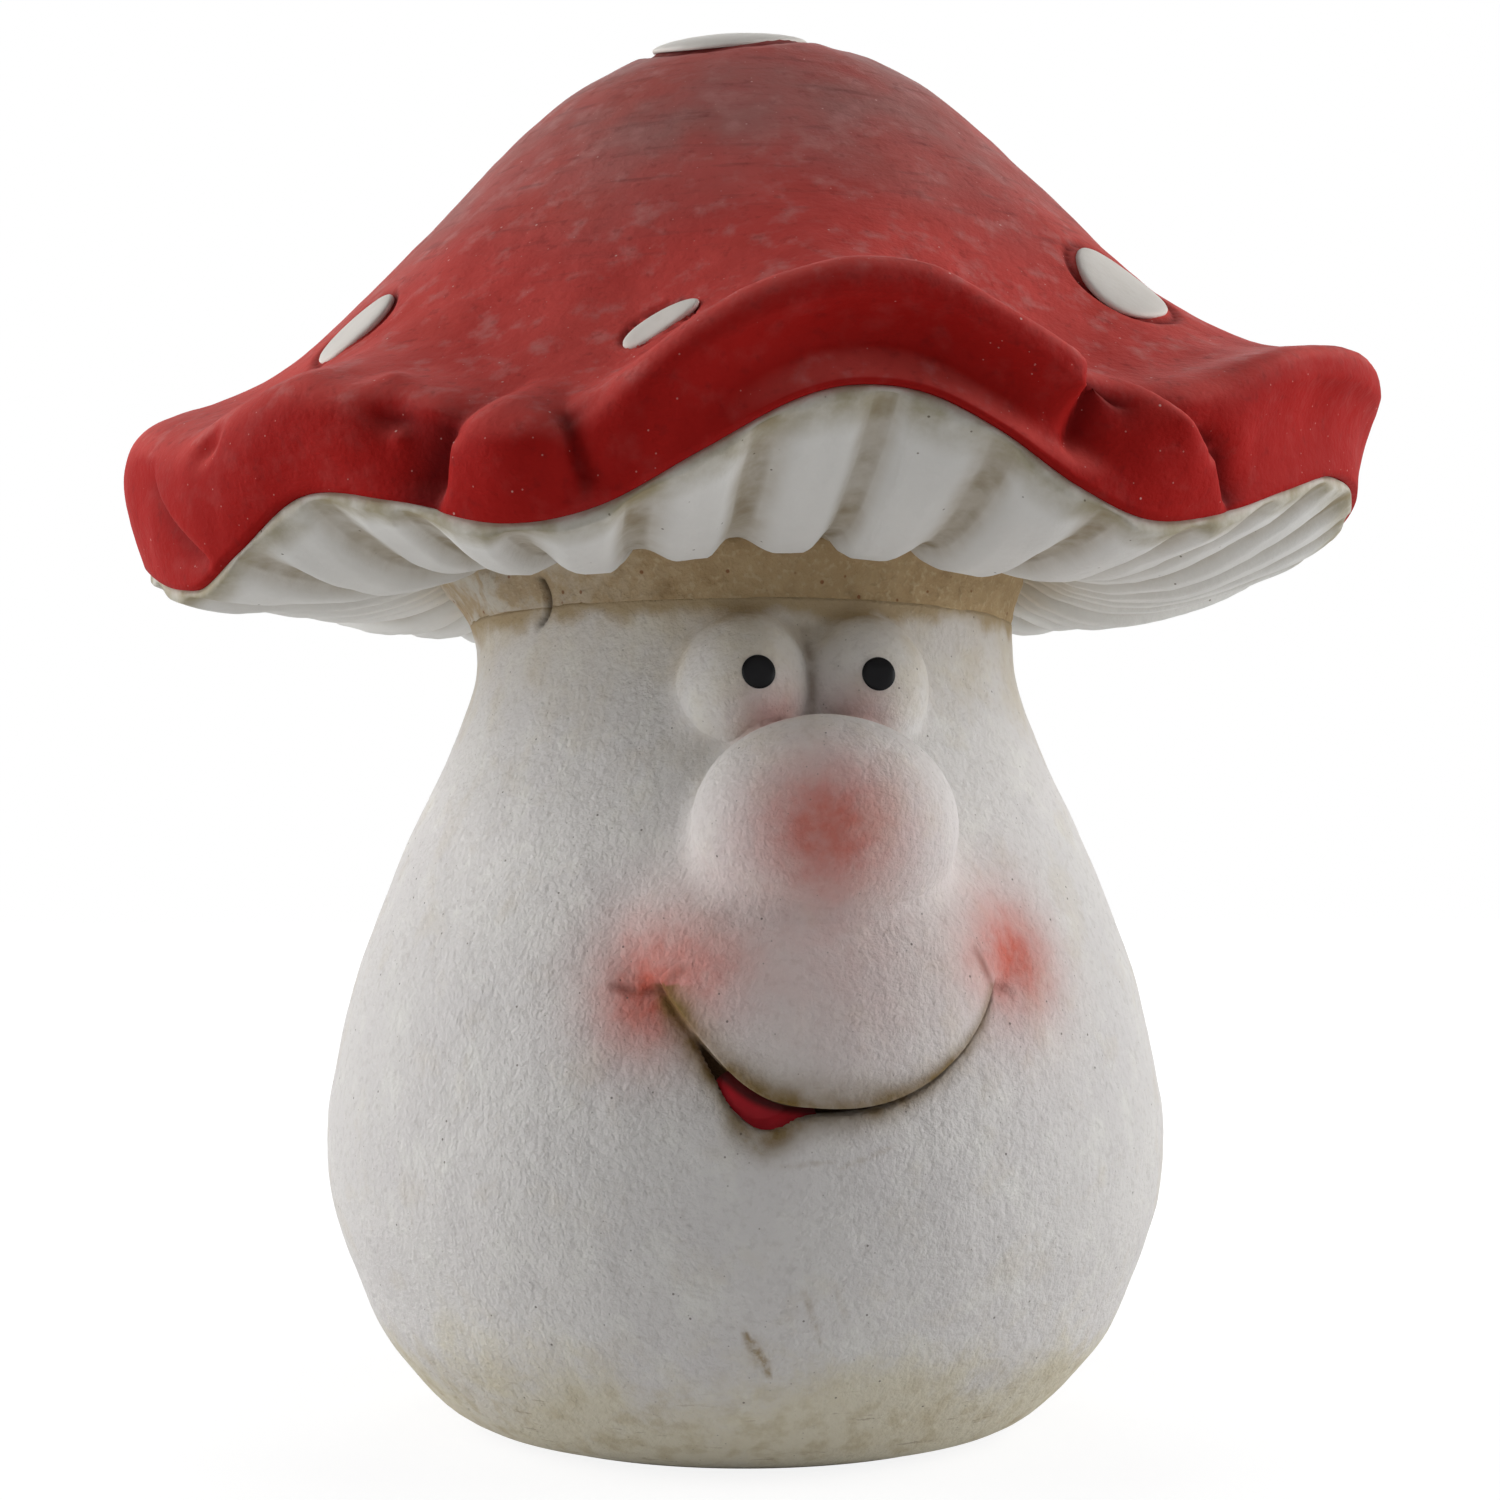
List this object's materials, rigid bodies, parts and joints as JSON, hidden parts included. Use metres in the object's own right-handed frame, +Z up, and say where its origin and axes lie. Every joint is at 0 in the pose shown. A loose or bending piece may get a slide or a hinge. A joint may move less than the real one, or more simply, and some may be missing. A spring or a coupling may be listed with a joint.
{
  "type": "ceramic toadstool ornament",
  "caption": "Free-standing hollow ceramic toadstool with a waved red cap, pale gills and a comic smiling face on a pear-shaped stem.",
  "frame": {"origin": "centre of the foot ring, on the surface that the ornament stands on", "axes": "+Z up along the stem's axis, the face looks along -Y, +X is to the right as seen by someone who looks at the face"},
  "size_m": [0.2181, 0.2114, 0.2441],
  "materials": {
    "stem_paint": "matte off-white paint with an ochre wash at the foot",
    "slip": "rough khaki slip",
    "gill_paint": "matte off-white paint with an olive wash in the grooves",
    "cap_paint": "matte red paint with a dry-brushed dark crown",
    "spot_paint": "matte off-white paint",
    "pupil_paint": "satin black paint",
    "tongue_paint": "satin crimson paint"
  },
  "bodies": {
    "root": {"stem_shell": "stem_paint", "neck_bead": "slip", "gill_plate": "gill_paint", "cap_shell": "cap_paint", "nose": "stem_paint", "eye_left": "stem_paint", "eye_right": "stem_paint", "pupil_left": "pupil_paint", "pupil_right": "pupil_paint", "upper_lip": "stem_paint", "tongue": "tongue_paint", "spot_crown": "spot_paint", "spot_front_left": "spot_paint", "spot_right": "spot_paint", "spot_left": "spot_paint", "spot_rear_right": "spot_paint", "spot_rear": "spot_paint", "spot_rear_left": "spot_paint", "spot_far_left": "spot_paint", "spot_far_right": "spot_paint"}
  },
  "joints": []
}
